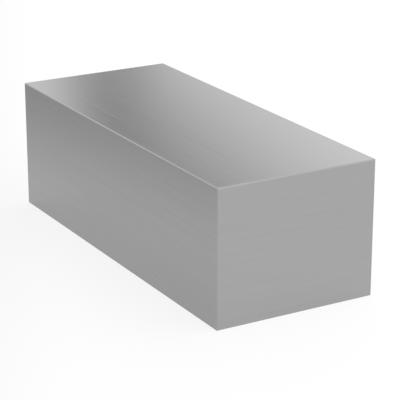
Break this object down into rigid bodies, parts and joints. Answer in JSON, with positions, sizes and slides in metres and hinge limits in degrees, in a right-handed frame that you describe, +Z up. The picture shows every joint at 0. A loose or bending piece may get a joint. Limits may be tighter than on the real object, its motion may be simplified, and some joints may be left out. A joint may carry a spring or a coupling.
{
  "type": "steel flat bar",
  "caption": "Short sawn piece of solid rectangular steel flat bar with a fine drawn finish, small edge radii and deburred ends, used as raw stock for machining or welding.",
  "frame": {"origin": "middle of the wide face that the bar lies on", "axes": "+X along the bar, +Y across its width, +Z up through its thickness"},
  "size_m": [0.1524, 0.0636, 0.0508],
  "materials": {
    "steel": "satin cold-drawn steel with fine lines along the bar, bare and unpainted, with fine saw lines across the ends"
  },
  "bodies": {
    "root": {"flat_bar": "steel"}
  },
  "joints": []
}
